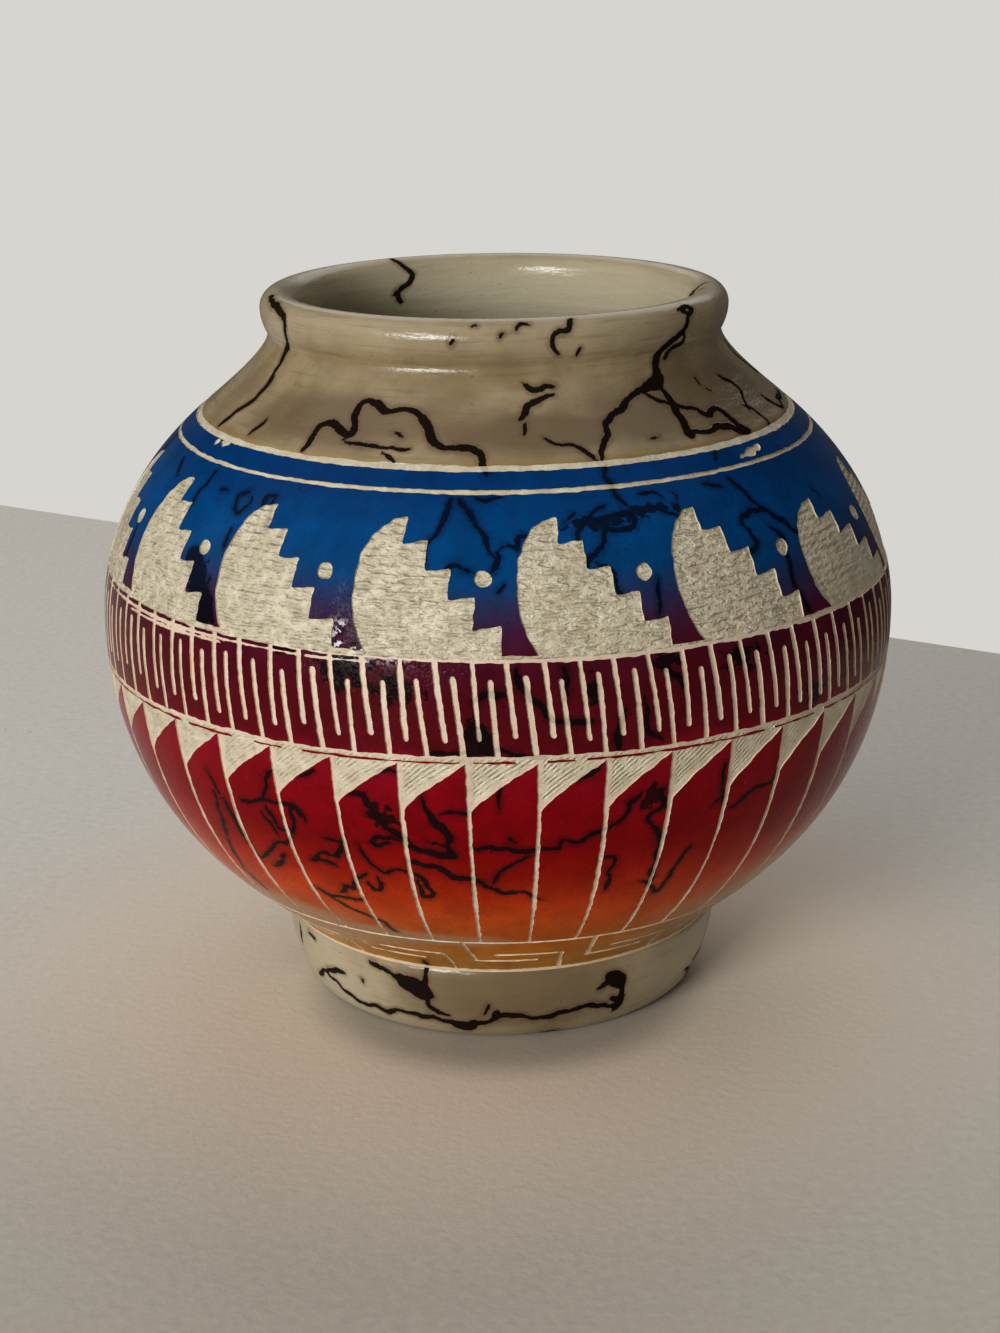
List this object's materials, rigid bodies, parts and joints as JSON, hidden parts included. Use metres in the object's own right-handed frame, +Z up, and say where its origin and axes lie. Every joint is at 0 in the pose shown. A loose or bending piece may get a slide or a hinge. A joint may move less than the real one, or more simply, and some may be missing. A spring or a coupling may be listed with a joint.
{
  "type": "horsehair pottery vase",
  "caption": "Round hollow clay vase with a rolled lip and turned foot, its belly coat of colour cut by etched rings, stepped fans, a comb meander, feathers and keys.",
  "frame": {"origin": "centre of the ring that the foot rests on, on the table", "axes": "+Z up along the axis of the vase; the front of the picture faces -Y"},
  "size_m": [0.114, 0.114, 0.103],
  "materials": {
    "clay": "smoke-marked pale clay under a clear lacquer",
    "blue_paint": "thin gloss colour coat, blue shading to purple",
    "maroon_paint": "thin gloss colour coat, maroon",
    "red_paint": "thin gloss colour coat, crimson shading to orange",
    "ochre_paint": "thin satin colour coat, ochre"
  },
  "bodies": {
    "root": {"clay_body": "clay", "shoulder_border_paint": "blue_paint", "fan_field_paint": "blue_paint", "meander_band_paint": "maroon_paint", "feather_paint_01": "red_paint", "feather_paint_02": "red_paint", "feather_paint_03": "red_paint", "feather_paint_04": "red_paint", "feather_paint_05": "red_paint", "feather_paint_06": "red_paint", "feather_paint_07": "red_paint", "feather_paint_08": "red_paint", "feather_paint_09": "red_paint", "feather_paint_10": "red_paint", "feather_paint_11": "red_paint", "feather_paint_12": "red_paint", "feather_paint_13": "red_paint", "feather_paint_14": "red_paint", "feather_paint_15": "red_paint", "feather_paint_16": "red_paint", "feather_paint_17": "red_paint", "feather_paint_18": "red_paint", "feather_paint_19": "red_paint", "feather_paint_20": "red_paint", "feather_paint_21": "red_paint", "feather_paint_22": "red_paint", "feather_paint_23": "red_paint", "feather_paint_24": "red_paint", "feather_paint_25": "red_paint", "feather_paint_26": "red_paint", "feather_paint_27": "red_paint", "feather_paint_28": "red_paint", "feather_paint_29": "red_paint", "feather_paint_30": "red_paint", "feather_paint_31": "red_paint", "feather_paint_32": "red_paint", "feather_paint_33": "red_paint", "feather_paint_34": "red_paint", "feather_paint_35": "red_paint", "feather_paint_36": "red_paint", "feather_paint_37": "red_paint", "feather_paint_38": "red_paint", "feather_paint_39": "red_paint", "feather_paint_40": "red_paint", "key_band_paint": "ochre_paint"}
  },
  "joints": []
}
